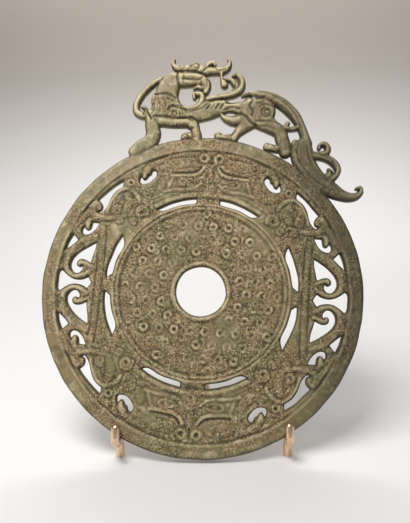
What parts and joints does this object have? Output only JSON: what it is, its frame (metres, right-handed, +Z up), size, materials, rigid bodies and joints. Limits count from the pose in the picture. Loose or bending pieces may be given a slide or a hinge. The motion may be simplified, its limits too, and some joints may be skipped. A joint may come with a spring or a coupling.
{
  "type": "jade bi disc",
  "caption": "Pierced jade bi disc with a striding dragon carved on its upper edge, leaning on a small brass easel stand.",
  "frame": {"origin": "on the floor, under the middle of the part's box", "axes": "+Z up, -Y towards the carved front, +X to the right as seen from the front"},
  "size_m": [0.1834, 0.0964, 0.2216],
  "materials": {
    "jade": "olive green jade, mottled with brown and cream, soft polish, earth in the carving",
    "brass": "polished pale brass rod"
  },
  "bodies": {
    "root": {"jade_disc": "jade", "side_rod_left": "brass", "side_rod_right": "brass", "cross_bar": "brass", "upright": "brass", "rear_leg": "brass"}
  },
  "joints": []
}
